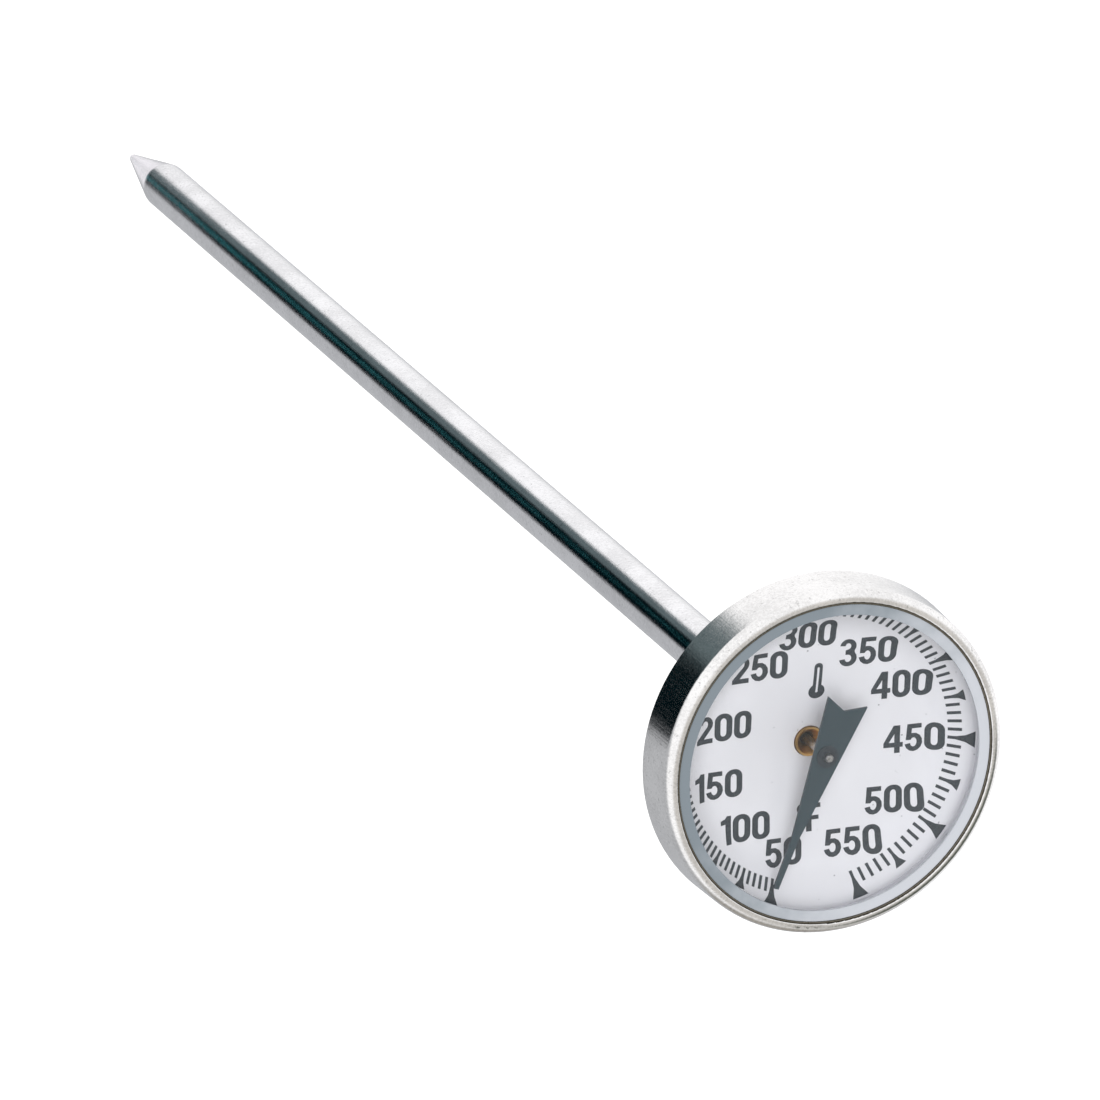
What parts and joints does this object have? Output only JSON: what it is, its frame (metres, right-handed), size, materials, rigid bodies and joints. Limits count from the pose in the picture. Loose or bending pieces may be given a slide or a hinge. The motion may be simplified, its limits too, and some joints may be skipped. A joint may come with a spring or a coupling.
{
  "type": "dial thermometer",
  "caption": "Pocket dial thermometer: round stainless head with a dished dial, pointer and window on a long pointed probe stem, with a hexagon below the head for resetting.",
  "frame": {"origin": "on the stem's axis where the plain stem meets the nut's lower face", "axes": "+Z along the stem and out of the dial, +Y to the dial's 12 o'clock, +X to its 3 o'clock"},
  "size_m": [0.0254, 0.0254, 0.1459],
  "materials": {
    "stainless": "satin drawn stainless",
    "stainless_polished": "polished stainless",
    "spring_steel": "bright spring steel",
    "bimetal": "matt bimetal strip",
    "brass": "turned brass",
    "guide_polymer": "white fluoropolymer",
    "dial_enamel": "white printed aluminium",
    "pointer_paint": "matt slate paint",
    "gasket_grey": "grey sealing ring",
    "clear_lens": "clear window"
  },
  "bodies": {
    "stem": {"stem_tube": "stainless", "stem_tip": "stainless", "coil_anchor": "spring_steel", "bimetal_coil": "bimetal", "lower_guide": "guide_polymer", "upper_guide": "guide_polymer", "head_bush": "brass", "calibration_nut": "stainless", "friction_washer": "spring_steel", "stem_collar": "spring_steel"},
    "head": {"bezel": "stainless", "case_back": "stainless", "retainer_ring": "stainless_polished", "lens_gasket": "gasket_grey", "lens": "clear_lens", "spacer_ring": "dial_enamel", "dial_plate": "dial_enamel"},
    "pointer": {"spindle": "spring_steel", "spindle_collar": "brass", "coil_collet": "brass", "pointer": "pointer_paint", "pointer_hub": "brass", "hub_cap": "pointer_paint"}
  },
  "joints": [
    {"name": "calibration_turn", "type": "hinge", "parent": "stem", "child": "head", "pos_m": [0, 0, 0.0055], "axis": [0, 0, 1], "continuous": true},
    {"name": "pointer_turn", "type": "hinge", "parent": "stem", "child": "pointer", "pos_m": [0, 0, 0], "axis": [0, 0, 1], "range_deg": [-323.5, 1.5], "stiffness_Nm_per_rad": 0.00001}
  ]
}
